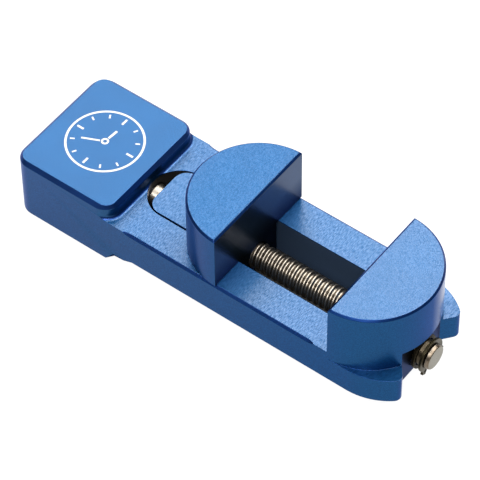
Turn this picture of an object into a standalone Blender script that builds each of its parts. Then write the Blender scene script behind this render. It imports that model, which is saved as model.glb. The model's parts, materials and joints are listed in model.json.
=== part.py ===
"""Watch movement holder: a one-piece aluminium body, a sliding D-shaped jaw and its lead screw."""

import math

import bmesh
import bpy

# Driving dimensions in millimetres. X runs along the bar from the head's end face,
# Y across it and Z up from the foot.
WIDTH = 30.0
HALF = WIDTH / 2
OVERALL_LENGTH = 98.6
GAP = 0.3

HEAD_LENGTH = 26.0
HEAD_TOP = 16.4
HEAD_CHAMFER = 0.85
CORNER_RADIUS = 3.8
TOP_CORNER_RADIUS = 2.3
SQUARE_CORNER = 0.3
FOOT_EDGE = 0.4
FOOT_LENGTH = 24.0
FOOT_RISE = 3.2
WALL_FILLET = 1.05

BAR_BOTTOM = FOOT_RISE
BAR_TOP = 12.8
BAR_CHAMFER = 0.57
CHAMFER_START = 31.5
CHAMFER_END = 76.5
RUN_OUT = 2.2
UNDER_CHAMFER = 0.85
SHELF_TOP = 10.7
BASE_CENTRE = 86.8

FIXED_FLAT = 82.0
FIXED_TOP = 26.65
JAW_CHAMFER = 0.45

NOTCH_WALL = 94.8
NOTCH_HALF = 6.8
NOTCH_CEILING = 14.25
FLARE_ANGLE = 51.0
TIP_RADIUS = 1.6

SLOT_HALF = 6.83
SLOT_CENTRE = 32.9
SLOT_END = 84.0
SLOT_END_RADIUS = 2.0

MOVING_FLAT = 53.7
MOVING_TOP = 27.1
TONGUE_START = 29.0
TONGUE_HALF = 6.45
TONGUE_RADIUS = 3.1
TONGUE_END = MOVING_FLAT - GAP
RISER_START = MOVING_FLAT - 13.0
RISER_HALF = 6.2

AXIS_Z = 8.05
THREAD_RADIUS = 3.0
JOURNAL_RADIUS = 2.95
SHANK_RADIUS = 2.2
COLLAR_START = 26.4
COLLAR_RADIUS = 2.9
NECK_RADIUS = 2.5
THREAD_START = 28.4
THREAD_LEAD_IN = 0.8
THREAD_END = 83.4
END_CHAMFER = 0.4

NUT_RADIUS = 3.75
NUT_BORE = 3.2
NUT_LENGTH = 14.0

HUB_RADIUS = 5.0
HUB_START = 0.6
HUB_END = 9.6
SOCKET_FLATS = 5.0
SOCKET_DEPTH = 4.0
HUB_BORE_START = 5.6
PIN_RADIUS = 0.75
PIN_HOLE_RADIUS = 0.9
PIN_X = 7.7
PIN_HALF_LENGTH = 4.7

COUNTERBORE_RADIUS = 5.6
COUNTERBORE_DEPTH = 10.8
BUSH_RADIUS = 4.0
BUSH_BORE = 2.5
BUSH_LENGTH = 10.0
WASHER_THICKNESS = 0.6

FRONT_WASHER_X = 95.1
FRONT_WASHER_THICKNESS = 0.8
FRONT_WASHER_RADIUS = 4.0
CLIP_X = 96.9
CLIP_THICKNESS = 0.6
CLIP_INNER = 2.7
CLIP_OUTER = 3.95
CLIP_EAR = 4.65
CLIP_EAR_ANGLE = 48.0
CLIP_EAR_HALF = 0.8
CLIP_TURN = 16.0
GROOVE_RADIUS = 2.5

ROUND_STEPS = 32
PIN_STEPS = 16
ARC_STEPS = 24
# Helper solids reach this far past the faces that they join or cut.
OVER = 1.0

ALUMINIUM = (0.06, 0.21, 0.56, 1.0)
STEEL = (0.52, 0.50, 0.46, 1.0)
BRONZE = (0.55, 0.33, 0.12, 1.0)


def at(x, y, z):
    """A place in metres in the part's frame, whose origin is under the middle of the whole length."""
    return ((x - OVERALL_LENGTH / 2) / 1000, y / 1000, z / 1000)


def clear_scene():
    for obj in list(bpy.data.objects):
        bpy.data.objects.remove(obj, do_unlink=True)


def material(name, colour, roughness, metallic):
    made = bpy.data.materials.new(name)
    made.use_nodes = True
    shader = made.node_tree.nodes["Principled BSDF"]
    shader.inputs["Base Color"].default_value = colour
    shader.inputs["Roughness"].default_value = roughness
    shader.inputs["Metallic"].default_value = metallic
    return made


def arc(centre, radius, start, stop, steps):
    """Points of an arc from one angle to another, in degrees, with both its ends."""
    angles = [math.radians(start + (stop - start) * i / steps) for i in range(steps + 1)]
    return [(centre[0] + radius * math.cos(a), centre[1] + radius * math.sin(a)) for a in angles]


def inset(outline, distance):
    """The outline, counter-clockwise, moved inwards by a distance along the mitre of each corner."""
    moved = []
    for before, here, after in zip(outline[-1:] + outline[:-1], outline, outline[1:] + outline[:1]):
        one = (here[0] - before[0], here[1] - before[1])
        two = (after[0] - here[0], after[1] - here[1])
        n1 = (-one[1] / math.hypot(*one), one[0] / math.hypot(*one))
        n2 = (-two[1] / math.hypot(*two), two[0] / math.hypot(*two))
        scale = distance / (1 + n1[0] * n2[0] + n1[1] * n2[1])
        moved.append((here[0] + (n1[0] + n2[0]) * scale, here[1] + (n1[1] + n2[1]) * scale))
    return moved


def skin(name, rings):
    """A mesh through closed rings of the same number of points, capped at both ends."""
    shape = bmesh.new()
    rows = [[shape.verts.new(point) for point in ring] for ring in rings]
    for low, high in zip(rows, rows[1:]):
        for i in range(len(low)):
            j = (i + 1) % len(low)
            shape.faces.new((low[i], low[j], high[j], high[i]))
    shape.faces.new(rows[0][::-1])
    shape.faces.new(rows[-1])
    bmesh.ops.recalc_face_normals(shape, faces=shape.faces)
    mesh = bpy.data.meshes.new(name)
    shape.to_mesh(mesh)
    shape.free()
    return mesh


def prism(name, outline, bottom, top, bottom_chamfer=0.0, top_chamfer=0.0):
    """An upright solid over an outline, with its bottom and top edges chamfered where asked."""
    levels = [(bottom + bottom_chamfer, outline), (top - top_chamfer, outline)]
    if bottom_chamfer:
        levels.insert(0, (bottom, inset(outline, bottom_chamfer)))
    if top_chamfer:
        levels.append((top, inset(outline, top_chamfer)))
    return skin(name, [[at(x, y, z) for x, y in ring] for z, ring in levels])


def turned(name, profile, steps=ROUND_STEPS):
    """A round solid about the X axis of the mesh, from a closed profile of (x, radius)."""
    shape = bmesh.new()
    rows = []
    for x, radius in profile:
        if radius == 0:
            rows.append([shape.verts.new((x / 1000, 0, 0))] * steps)
            continue
        row = []
        for i in range(steps):
            angle = math.tau * i / steps
            y, z = radius * math.cos(angle), radius * math.sin(angle)
            row.append(shape.verts.new((x / 1000, y / 1000, z / 1000)))
        rows.append(row)
    for low, high in zip(rows, rows[1:] + rows[:1]):
        for i in range(steps):
            j = (i + 1) % steps
            corners = list(dict.fromkeys((low[i], low[j], high[j], high[i])))
            if len(corners) > 2:
                shape.faces.new(corners)
    bmesh.ops.recalc_face_normals(shape, faces=shape.faces)
    mesh = bpy.data.meshes.new(name)
    shape.to_mesh(mesh)
    shape.free()
    return mesh


def place(name, mesh, finish=None, location=(0, 0, 0), parent=None):
    obj = bpy.data.objects.new(name, mesh)
    bpy.context.collection.objects.link(obj)
    obj.location = location
    obj.parent = parent
    if finish:
        obj.data.materials.append(finish)
    return obj


def add_boolean(obj, operation, name, mesh, location=(0, 0, 0)):
    """Joins a helper solid to an object or cuts it away, and keeps the helper as a hidden wire."""
    helper = place(name, mesh, location=location)
    helper.hide_render = True
    helper.display_type = "WIRE"
    helper.parent = obj.parent
    modifier = obj.modifiers.new(name, "BOOLEAN")
    modifier.operation = operation
    modifier.object = helper


def shade(obj, angle=30):
    obj.data.shade_smooth()
    obj.data.set_sharp_from_angle(angle=math.radians(angle))


def half_round(flat, steps=ARC_STEPS):
    """The D outline of a jaw: its flat face at x = flat, with the half circle on the side of +X."""
    return arc((flat, 0), HALF, -90, 90, steps)


def head_ring(left, right, half, left_radius, right_radius, start=-90.0):
    """A level of the head: a rectangle whose round right corners may start past the side face."""
    corner_y = right_radius * math.sin(math.radians(-start))
    right_low = arc((right - right_radius, -half + corner_y), right_radius, start, 0, 6)
    left_low = arc((left + left_radius, -half + left_radius), left_radius, 180, 270, 6)
    upper = [(x, -y) for x, y in reversed(left_low + right_low)]
    return left_low + right_low + upper


def head_mesh():
    """Foot, head block and the fillet where its inner wall meets the bar."""

    def foot_ring(z, edge):
        return head_ring(edge, FOOT_LENGTH + z - edge, HALF - edge, CORNER_RADIUS - edge, SQUARE_CORNER)

    levels = [(0.0, foot_ring(0.0, FOOT_EDGE)), (FOOT_EDGE, foot_ring(FOOT_EDGE, 0.0))]
    square = foot_ring(FOOT_RISE, 0.0)
    levels += [(FOOT_RISE, square), (BAR_TOP - SQUARE_CORNER, square)]
    for step in range(5):
        angle = math.pi / 2 * step / 4
        out = WALL_FILLET * (1 - math.sin(angle))
        start = -math.degrees(math.asin(CORNER_RADIUS / (CORNER_RADIUS + out)))
        ring = head_ring(0, HEAD_LENGTH + out, HALF, CORNER_RADIUS, CORNER_RADIUS + out, start)
        levels.append((BAR_TOP + WALL_FILLET * (1 - math.cos(angle)), ring))
    levels.append((HEAD_TOP - HEAD_CHAMFER, levels[-1][1]))
    right, half = HEAD_LENGTH - HEAD_CHAMFER, HALF - HEAD_CHAMFER
    levels.append((HEAD_TOP, head_ring(HEAD_CHAMFER, right, half, TOP_CORNER_RADIUS, TOP_CORNER_RADIUS)))
    return skin("head", [[at(x, y, z) for x, y in ring] for z, ring in levels])


def bar_mesh():
    """The bar as sections along X, so that the chamfers on its upper edges can run out in a curve."""
    least = 0.02
    start, end = CHAMFER_START - RUN_OUT, CHAMFER_END + RUN_OUT
    shares = [i / 4 for i in range(5)]
    depths = [max(least, BAR_CHAMFER * math.sqrt(1 - (1 - share) ** 2)) for share in shares]
    sections = [(HEAD_LENGTH / 2, HALF, least, least)]
    for share, depth in zip(shares, depths):
        sections.append((start + RUN_OUT * share, HALF, depth, max(least, UNDER_CHAMFER * share)))
    for share, depth in zip(shares[::-1], depths[::-1]):
        sections.append((end - RUN_OUT * share, HALF, depth, UNDER_CHAMFER))
    sections.append((FIXED_FLAT, HALF, least, UNDER_CHAMFER))
    sections.append((FIXED_FLAT + 2, HALF - 1, least, UNDER_CHAMFER))
    rings = []
    for x, half, top, under in sections:
        right = [(half - under, BAR_BOTTOM), (half, BAR_BOTTOM + under)]
        right += [(half, BAR_TOP - top), (half - top, BAR_TOP)]
        rings.append([at(x, y, z) for y, z in right + [(-y, z) for y, z in reversed(right)]])
    return skin("bar", rings)


def flare_line():
    """The unit direction of the upper flare and a point on it, where it leaves the notch's flat wall."""
    angle = math.radians(FLARE_ANGLE)
    return (math.cos(angle), math.sin(angle)), (NOTCH_WALL, NOTCH_HALF)


def base_outline():
    """The base under the fixed jaw: straight sides, a half circle, and round horn tips beside the notch."""
    (dx, dy), (wall_x, wall_y) = flare_line()
    # The tip's centre lies one tip radius inside both the half circle and the flare.
    inner = HALF - TIP_RADIUS
    px = wall_x - dy * TIP_RADIUS - BASE_CENTRE
    py = wall_y + dx * TIP_RADIUS
    along = px * dx + py * dy
    travel = -along + math.sqrt(along**2 - (px**2 + py**2 - inner**2))
    tip = (px + dx * travel + BASE_CENTRE, py + dy * travel)
    tip_angle = math.degrees(math.atan2(tip[1], tip[0] - BASE_CENTRE))
    lower_tip = arc((tip[0], -tip[1]), TIP_RADIUS, -tip_angle, 90 - FLARE_ANGLE, 6)
    lower = arc((BASE_CENTRE, 0), HALF, -90, -tip_angle, 14)[:-1] + lower_tip
    left = [(FIXED_FLAT - 20, HALF), (FIXED_FLAT - 20, -HALF)]
    return lower + [(x, -y) for x, y in reversed(lower)] + left


def notch_outline():
    (dx, dy), (wall_x, wall_y) = flare_line()
    reach = 9.0
    upper = (wall_x + dx * reach, wall_y + dy * reach)
    return [(wall_x, -wall_y), (upper[0], -upper[1]), (upper[0] + 5, 0), upper, (wall_x, wall_y)]


def notch_mesh():
    """What the notch takes away, wider at the bottom so that it breaks the base's lower edge as well."""
    outline = notch_outline()
    wide = inset(outline, -UNDER_CHAMFER)
    levels = [(-OVER, wide), (BAR_BOTTOM, wide), (BAR_BOTTOM + UNDER_CHAMFER, outline), (NOTCH_CEILING, outline)]
    return skin("notch", [[at(x, y, z) for x, y in ring] for z, ring in levels])


def slot_outline():
    left = arc((SLOT_CENTRE, 0), SLOT_HALF, 90, 270, ARC_STEPS)
    inner = SLOT_END - SLOT_END_RADIUS
    low = arc((inner, SLOT_END_RADIUS - SLOT_HALF), SLOT_END_RADIUS, -90, 0, 4)
    return left + low + [(x, -y) for x, y in reversed(low)]


def make_body():
    body = place("body", head_mesh(), material("body_anodised", ALUMINIUM, 0.35, 0.7))
    add_boolean(body, "UNION", "join_bar", bar_mesh())
    base = prism("base", base_outline(), BAR_BOTTOM, SHELF_TOP, bottom_chamfer=UNDER_CHAMFER)
    add_boolean(body, "UNION", "join_base", base)
    jaw_start = (BAR_BOTTOM + SHELF_TOP) / 2
    jaw = prism("jaw", half_round(FIXED_FLAT), jaw_start, FIXED_TOP, top_chamfer=JAW_CHAMFER)
    add_boolean(body, "UNION", "join_fixed_jaw", jaw)
    slot = prism("slot", slot_outline(), -OVER, BAR_TOP + WALL_FILLET)
    add_boolean(body, "DIFFERENCE", "cut_slot", slot)
    add_boolean(body, "DIFFERENCE", "cut_notch", notch_mesh())
    bush_end = COUNTERBORE_DEPTH + BUSH_LENGTH + GAP
    bush_hole = BUSH_RADIUS + GAP
    hole = SHANK_RADIUS + GAP
    rear = [(-OVER, 0), (-OVER, COUNTERBORE_RADIUS), (COUNTERBORE_DEPTH, COUNTERBORE_RADIUS)]
    rear += [(COUNTERBORE_DEPTH, bush_hole), (bush_end, bush_hole), (bush_end, hole)]
    spotface, clear = COLLAR_START - GAP, COLLAR_RADIUS + GAP
    rear += [(spotface, hole), (spotface, clear), (SLOT_CENTRE, clear), (SLOT_CENTRE, 0)]
    add_boolean(body, "DIFFERENCE", "cut_rear_bore", turned("rear_bore", rear), at(0, 0, AXIS_Z))
    front_radius = JOURNAL_RADIUS + GAP
    start, end = SLOT_END - OVER, NOTCH_WALL + OVER
    front = turned("front_bore", [(start, 0), (start, front_radius), (end, front_radius), (end, 0)])
    add_boolean(body, "DIFFERENCE", "cut_front_bore", front, at(0, 0, AXIS_Z))
    shade(body)


def make_moving_jaw(slide):
    """The sliding jaw, a D block over the bar with a tongue down in the slot, and its bronze nut."""
    corner = (TONGUE_START + TONGUE_RADIUS, TONGUE_RADIUS - TONGUE_HALF)
    tongue_low = arc(corner, TONGUE_RADIUS, 180, 270, 6)
    tongue = tongue_low + [(TONGUE_END, -TONGUE_HALF), (TONGUE_END, TONGUE_HALF)]
    tongue += [(x, -y) for x, y in reversed(tongue_low)]
    jaw_outline = [(2 * MOVING_FLAT - x, -y) for x, y in half_round(MOVING_FLAT)]
    block = prism("block", jaw_outline, BAR_TOP + GAP / 2, MOVING_TOP, top_chamfer=JAW_CHAMFER)
    jaw = place("moving_jaw", block, material("moving_jaw_anodised", ALUMINIUM, 0.35, 0.7), parent=slide)
    jaw.data.transform(slide.matrix_world.inverted())
    tongue_mesh = prism("tongue", tongue, BAR_BOTTOM + GAP, BAR_TOP)
    low = [(RISER_START, -RISER_HALF), (TONGUE_END, -RISER_HALF)]
    riser = prism("riser", low + [(x, -y) for x, y in reversed(low)], BAR_TOP - OVER, BAR_TOP + OVER)
    for name, mesh in (("join_tongue", tongue_mesh), ("join_riser", riser)):
        mesh.transform(slide.matrix_world.inverted())
        add_boolean(jaw, "UNION", name, mesh)
    pocket = NUT_RADIUS + GAP
    nut_end = TONGUE_START + NUT_LENGTH + GAP
    bore = [(0, 0), (0, pocket), (nut_end, pocket), (nut_end, THREAD_RADIUS + GAP)]
    bore += [(MOVING_FLAT + OVER, THREAD_RADIUS + GAP), (MOVING_FLAT + OVER, 0)]
    nut_bore = turned("nut_bore", [(x - MOVING_FLAT, r) for x, r in bore])
    add_boolean(jaw, "DIFFERENCE", "cut_nut_bore", nut_bore)
    shade(jaw)
    nut_start = TONGUE_START + GAP
    nut = [(nut_start, NUT_BORE), (nut_start, NUT_RADIUS), (TONGUE_START + NUT_LENGTH, NUT_RADIUS)]
    nut += [(TONGUE_START + NUT_LENGTH, NUT_BORE)]
    mesh = turned("jaw_nut", [(x - MOVING_FLAT, r) for x, r in nut])
    shade(place("jaw_nut", mesh, material("jaw_nut_bronze", BRONZE, 0.4, 1.0), parent=slide))


def make_lead_screw(axis):
    """The screw: a thin shank for the hub, a tapered collar, the thread's outer diameter, and the journal."""
    groove_start, groove_end = CLIP_X - GAP / 2, CLIP_X + CLIP_THICKNESS + GAP / 2
    start = HUB_BORE_START + GAP
    profile = [(start, 0), (start, SHANK_RADIUS - END_CHAMFER), (start + END_CHAMFER, SHANK_RADIUS)]
    profile += [(COLLAR_START, SHANK_RADIUS), (COLLAR_START, COLLAR_RADIUS), (THREAD_START, NECK_RADIUS)]
    profile += [(THREAD_START + THREAD_LEAD_IN, THREAD_RADIUS)]
    profile += [(THREAD_END, THREAD_RADIUS)]
    profile += [(THREAD_END, JOURNAL_RADIUS), (groove_start, JOURNAL_RADIUS), (groove_start, GROOVE_RADIUS)]
    profile += [(groove_end, GROOVE_RADIUS), (groove_end, JOURNAL_RADIUS)]
    profile += [(OVERALL_LENGTH - END_CHAMFER, JOURNAL_RADIUS)]
    profile += [(OVERALL_LENGTH, JOURNAL_RADIUS - END_CHAMFER)]
    profile += [(OVERALL_LENGTH, 0)]
    steel = material("lead_screw_steel", STEEL, 0.3, 1.0)
    screw = place("lead_screw", turned("lead_screw", profile), steel)
    screw.parent = axis
    pin_hole = upright_rod("pin_hole", SHANK_RADIUS + OVER, PIN_HOLE_RADIUS)
    add_boolean(screw, "DIFFERENCE", "cut_pin_hole", pin_hole)
    shade(screw)


def upright_rod(name, half_length, radius):
    """A plain rod across the screw, where the hub's pin goes, as a mesh with its origin on the axis."""
    profile = [(-half_length, 0), (-half_length, radius), (half_length, radius), (half_length, 0)]
    mesh = turned(name, profile, PIN_STEPS)
    for vertex in mesh.vertices:
        along, across, up = vertex.co
        vertex.co = (PIN_X / 1000 - up, across, along)
    return mesh


def make_drive(axis):
    """The hub at the head's end, with its hexagon socket, and the pin that holds it on the screw."""
    bore = SHANK_RADIUS + 0.2
    profile = [(HUB_START, 0), (HUB_START, HUB_RADIUS - END_CHAMFER), (HUB_START + END_CHAMFER, HUB_RADIUS)]
    profile += [(HUB_END, HUB_RADIUS), (HUB_END, bore), (HUB_BORE_START, bore), (HUB_BORE_START, 0)]
    hub = place("drive_hub", turned("drive_hub", profile), material("drive_hub_steel", STEEL, 0.35, 1.0))
    hub.parent = axis
    corner = SOCKET_FLATS / math.sqrt(3)
    socket = [(HUB_START - OVER, 0), (HUB_START - OVER, corner), (HUB_START + SOCKET_DEPTH, corner)]
    socket += [(HUB_START + SOCKET_DEPTH, 0)]
    add_boolean(hub, "DIFFERENCE", "cut_socket", turned("socket", socket, 6))
    hub_hole = upright_rod("hub_hole", HUB_RADIUS + OVER, PIN_HOLE_RADIUS)
    add_boolean(hub, "DIFFERENCE", "cut_hub_hole", hub_hole)
    shade(hub)
    pin = upright_rod("hub_pin", PIN_HALF_LENGTH, PIN_RADIUS)
    shade(place("hub_pin", pin, material("hub_pin_steel", STEEL, 0.3, 1.0), parent=axis))


def make_ring(name, start, end, inner, outer, finish, axis):
    mesh = turned(name, [(start, inner), (start, outer), (end, outer), (end, inner)])
    shade(place(name, mesh, finish, location=axis.location))


def make_circlip(axis):
    """The retaining ring in the screw's groove, open below, with an ear on each side of its opening."""
    ear = math.degrees(CLIP_EAR_HALF / CLIP_OUTER)
    opening = CLIP_EAR_ANGLE - ear
    outer = arc((0, 0), CLIP_OUTER, -90 + CLIP_EAR_ANGLE + ear, 270 - CLIP_EAR_ANGLE - ear, ARC_STEPS)
    left_ear = arc((0, 0), CLIP_EAR, 270 - CLIP_EAR_ANGLE - ear * 0.7, 270 - CLIP_EAR_ANGLE + ear * 0.7, 3)
    right_ear = [(-y, z) for y, z in reversed(left_ear)]
    inner = arc((0, 0), CLIP_INNER, 270 - opening, -90 + opening, ARC_STEPS)
    turn = math.radians(CLIP_TURN)
    outline = []
    for y, z in outer + left_ear + inner + right_ear:
        outline.append((y * math.cos(turn) - z * math.sin(turn), y * math.sin(turn) + z * math.cos(turn)))
    rings = []
    for x in (CLIP_X, CLIP_X + CLIP_THICKNESS):
        rings.append([(x / 1000, y / 1000, z / 1000) for y, z in outline])
    finish = material("circlip_steel", STEEL, 0.35, 1.0)
    shade(place("circlip", skin("circlip", rings), finish, parent=axis))


def main():
    clear_scene()
    axis = bpy.data.objects.new("screw_axis", None)
    slide = bpy.data.objects.new("jaw_slide", None)
    for empty, x in ((axis, 0), (slide, MOVING_FLAT)):
        bpy.context.collection.objects.link(empty)
        empty.location = at(x, 0, AXIS_Z)
    bpy.context.view_layer.update()
    make_body()
    make_moving_jaw(slide)
    make_lead_screw(axis)
    make_drive(axis)
    bronze = material("rear_bush_bronze", BRONZE, 0.4, 1.0)
    bush_end = COUNTERBORE_DEPTH + BUSH_LENGTH
    make_ring("rear_bush", COUNTERBORE_DEPTH, bush_end, BUSH_BORE, BUSH_RADIUS, bronze, axis)
    rear_end = COUNTERBORE_DEPTH - GAP
    rear = material("rear_washer_steel", STEEL, 0.35, 1.0)
    make_ring("rear_washer", rear_end - WASHER_THICKNESS, rear_end, BUSH_BORE, HUB_RADIUS, rear, axis)
    front = material("front_washer_steel", STEEL, 0.35, 1.0)
    front_end = FRONT_WASHER_X + FRONT_WASHER_THICKNESS
    inner = JOURNAL_RADIUS + 0.2
    make_ring("front_washer", FRONT_WASHER_X, front_end, inner, FRONT_WASHER_RADIUS, front, axis)
    make_circlip(axis)


main()
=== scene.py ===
"""Looks of the watch movement holder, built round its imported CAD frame."""

import json
import math

import bmesh
import bpy
from mathutils import Matrix, Vector

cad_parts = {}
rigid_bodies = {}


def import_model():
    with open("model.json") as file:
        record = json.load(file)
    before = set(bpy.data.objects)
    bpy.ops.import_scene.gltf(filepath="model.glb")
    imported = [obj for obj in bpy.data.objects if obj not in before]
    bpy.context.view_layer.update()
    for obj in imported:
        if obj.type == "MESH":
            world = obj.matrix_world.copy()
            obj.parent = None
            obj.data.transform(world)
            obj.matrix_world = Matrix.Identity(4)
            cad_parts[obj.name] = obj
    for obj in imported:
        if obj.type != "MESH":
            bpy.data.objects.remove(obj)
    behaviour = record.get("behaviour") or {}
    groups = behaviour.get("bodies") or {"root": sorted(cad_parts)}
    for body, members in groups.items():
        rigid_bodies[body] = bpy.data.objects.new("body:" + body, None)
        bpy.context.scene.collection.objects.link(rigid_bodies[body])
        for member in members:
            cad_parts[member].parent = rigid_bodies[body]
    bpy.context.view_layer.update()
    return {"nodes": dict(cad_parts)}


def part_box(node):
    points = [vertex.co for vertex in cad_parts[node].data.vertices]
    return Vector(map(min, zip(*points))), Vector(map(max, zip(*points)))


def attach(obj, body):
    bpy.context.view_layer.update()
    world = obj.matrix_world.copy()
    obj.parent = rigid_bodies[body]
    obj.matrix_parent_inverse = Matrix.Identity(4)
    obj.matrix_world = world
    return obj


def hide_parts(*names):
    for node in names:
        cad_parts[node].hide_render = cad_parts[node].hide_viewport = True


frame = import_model()

MM = 0.001

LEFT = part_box("body")[0].x


def span(node):
    """Where a CAD node starts and ends along the bar, in millimetres from the head's end face."""
    low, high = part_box(node)
    return (low.x - LEFT) / MM, (high.x - LEFT) / MM


def half_width(node):
    """Half a CAD node's width across the bar, or a round node's radius, in millimetres."""
    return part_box(node)[1].y / MM


# Places and sizes read from the CAD model, in millimetres.
HALF = half_width("body")
FIXED_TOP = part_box("body")[1].z / MM
MOVING_FLAT = span("moving_jaw")[1]
MOVING_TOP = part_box("moving_jaw")[1].z / MM
SCREW_START, SCREW_END = span("lead_screw")
THREAD_RADIUS = half_width("lead_screw")
AXIS_Z = (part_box("lead_screw")[0].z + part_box("lead_screw")[1].z) / 2 / MM
CLIP_START, CLIP_END = span("circlip")
NUT_START, NUT_END = span("jaw_nut")
HUB_START, HUB_END = span("drive_hub")
HUB_RADIUS = half_width("drive_hub")
WASHER_START, WASHER_END = span("front_washer")
WASHER_RADIUS = half_width("front_washer")

# The head, in millimetres like all the sizes below.
HEAD_LENGTH = 26.0
HEAD_TOP = 16.4
HEAD_CHAMFER = 0.85
CORNER_RADIUS = 3.8
TOP_CORNER_RADIUS = 2.3
SQUARE_CORNER = 0.3
FOOT_EDGE = 0.4
FOOT_LENGTH = 24.0
FOOT_RISE = 3.2
WALL_FILLET = 1.05

# The bar and the base under the fixed jaw.
BAR_TOP = 12.8
BAR_CHAMFER = 0.57
CHAMFER_START = 31.5
CHAMFER_END = 76.5
RUN_OUT = 2.2
UNDER_CHAMFER = 0.85
NO_CHAMFER = 0.02
SHELF_TOP = 10.7
BASE_START = 62.0
BASE_CENTRE = 86.8

# The jaws and the notch in the base.
FIXED_FLAT = 82.0
JAW_CHAMFER = 0.45
NOTCH_WALL = 94.8
NOTCH_HALF = 6.8
NOTCH_CEILING = 14.25
FLARE_ANGLE = 51.0
FLARE_REACH = 9.0
NOTCH_POINT = 5.0
TIP_RADIUS = 1.6

# The slot, and the moving jaw's tongue in it with the riser between the two.
SLOT_HALF = 6.83
SLOT_CENTRE = 32.9
SLOT_END = 84.0
SLOT_END_RADIUS = 2.0
TONGUE_START = 29.0
TONGUE_HALF = 6.45
TONGUE_RADIUS = 3.1
TONGUE_BOTTOM = 3.5
RISER_LENGTH = 13.0
RISER_INSET = 0.2
CLEARANCE = 0.3
SLIDE_GAP = 0.05

# The screw: its shank and collar, its thread, and its journal with the circlip's groove.
SHANK_RADIUS = 2.2
END_CHAMFER = 0.4
COLLAR_START = 26.4
COLLAR_RADIUS = 2.9
COLLAR_CHAMFER = 0.1
NECK_RADIUS = 2.5
NECK_END = 28.25
NECK_STEP = 0.1
PITCH = 1.5
ROOT_RADIUS = 2.58
THREAD_FLATNESS = 0.6
THREAD_START = 28.4
THREAD_END = 83.4
LEAD_IN = 0.8
RELIEF = 0.25
SHOULDER = 0.2
JOURNAL_RADIUS = 2.95
GROOVE_RADIUS = 2.5
GROOVE_PLAY = 0.15
GROOVE_EDGE = 0.08
TAPER_LENGTH = 1.0
TAPER = 0.2
END_FACE_RADIUS = 2.5
END_CENTRE = 0.05
END_RINGS = 12
END_RING_DEPTH = 0.012

# The nut, the bores round the screw and the washer.
NUT_RADIUS = 3.75
NUT_BORE = 3.2
NUT_CHAMFER = 0.2
COUNTERBORE_RADIUS = 5.6
COUNTERBORE_DEPTH = 10.8
BUSH_HOLE = 4.3
BUSH_HOLE_END = 21.1
SHANK_HOLE = 2.5
JOURNAL_HOLE = 3.25
WASHER_BORE = 3.15
WASHER_CHAMFER = 0.12

# The drive hub and its pin.
HUB_BORE = 2.4
HUB_BORE_START = 5.6
HUB_REAR_CHAMFER = 0.2
SOCKET_FLATS = 5.0
SOCKET_DEPTH = 4.0
MOUTH_CHAMFER = 0.15
PIN_X = 7.7
PIN_HOLE_RADIUS = 0.9

# The circlip, whose ears lie on each side of its opening, which is turned a little from straight down.
CLIP_INNER = 2.7
CLIP_OUTER = 3.95
CLIP_EAR = 4.65
CLIP_EAR_ANGLE = 48.0
CLIP_EAR_HALF = 0.8
CLIP_EAR_TIP = 0.7
CLIP_TURN = 16.0
CLIP_HOLE_RADIUS = 0.4
CLIP_EDGE = 0.06

# The dial marked on the head: the radii and widths of its rings, ticks and hands.
MARK_LIFT = 0.015
DIAL_RADIUS = 8.4
DIAL_WIDTH = 0.5
TICK_END = 7.5
LONG_TICK = (5.8, 0.5)
SHORT_TICK = (6.5, 0.38)
PIVOT_RADIUS = 0.65
HAND_START = 1.1
LONG_HAND = (205, 5.2, 0.45)
SHORT_HAND = (85, 3.7, 0.55)
LINE_WIDTH = 0.45

# Fineness of the meshes, the radius of the broken edges, and how far helper solids reach past each other.
ARC_STEPS = 96
CORNER_STEPS = 10
FILLET_STEPS = 10
TURNED_STEPS = 64
HOLE_STEPS = 24
SCREW_STEPS = 36
EDGE = 0.09
OVER = 1.0

# The shortest distance over which one finish gives way to another.
FADE = 0.05

# Dyes and tones, as linear colours. The tones for the chamfers, the moving jaw's flat face, the recesses
# and the screw's journal are painted shade, and the flanks' tone is partly grease, partly painted shade.
BODY_DYE = (0.005, 0.059, 0.158)
JAW_DYE = (0.005, 0.060, 0.160)
CHAMFER_PAINTED_SHADE = (0.005, 0.036, 0.165)
JAW_FLAT_SHADE = (0.030, 0.052, 0.075)
JAW_FOOT_SHADE = (0.018, 0.025, 0.024)
OXIDE_TINT = (0.33, 0.44, 0.82)
SLOT_TONE = (0.050, 0.085, 0.150)
RECESS_PAINTED_SHADE = (0.030, 0.028, 0.026)
SCREW_TONE = (0.38, 0.34, 0.28)
FLANK_GREASE_AND_SHADE = (0.16, 0.125, 0.09)
JOURNAL_PAINTED_SHADE = (0.060, 0.048, 0.032)
END_TONE = (0.215, 0.20, 0.162)
HUB_TONE = (0.50, 0.49, 0.47)
WASHER_TONE = (0.04, 0.032, 0.02)
SPRING_TONE = (0.06, 0.05, 0.028)
BRONZE_DARK = (0.20, 0.12, 0.05)
BRONZE_PALE = (0.36, 0.22, 0.10)
ETCHED_DARK = (0.44, 0.425, 0.40)
ETCHED_PALE = (0.54, 0.52, 0.49)
FLOOR_TONE = (0.10, 0.10, 0.10)
SHADED_FLOOR_TONE = (0.016, 0.014, 0.012)

# Haze of the oxide on the milled tops: at the head, at the fixed jaw, and low on the bar beside the head.
BODY_HAZE = (0.40, 0.97, 0.76)
JAW_HAZE = (0.43, 0.5, 0.82)

# The floor, in millimetres, with its glow, which is left out under the holder.
FLOOR_REACH = 3000.0
FLOOR_GLOW = 0.96
SHADED_GLOW = 0.01
GLOW_HALF_LENGTH = 38.0
GLOW_HALF_WIDTH = 12.2
GLOW_FADE = 2.5

# The even light of the room, and how far the softboxes stand, in metres.
ROOM_LIGHT = 0.18
SOFTBOX_DISTANCE = 1.2

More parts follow.
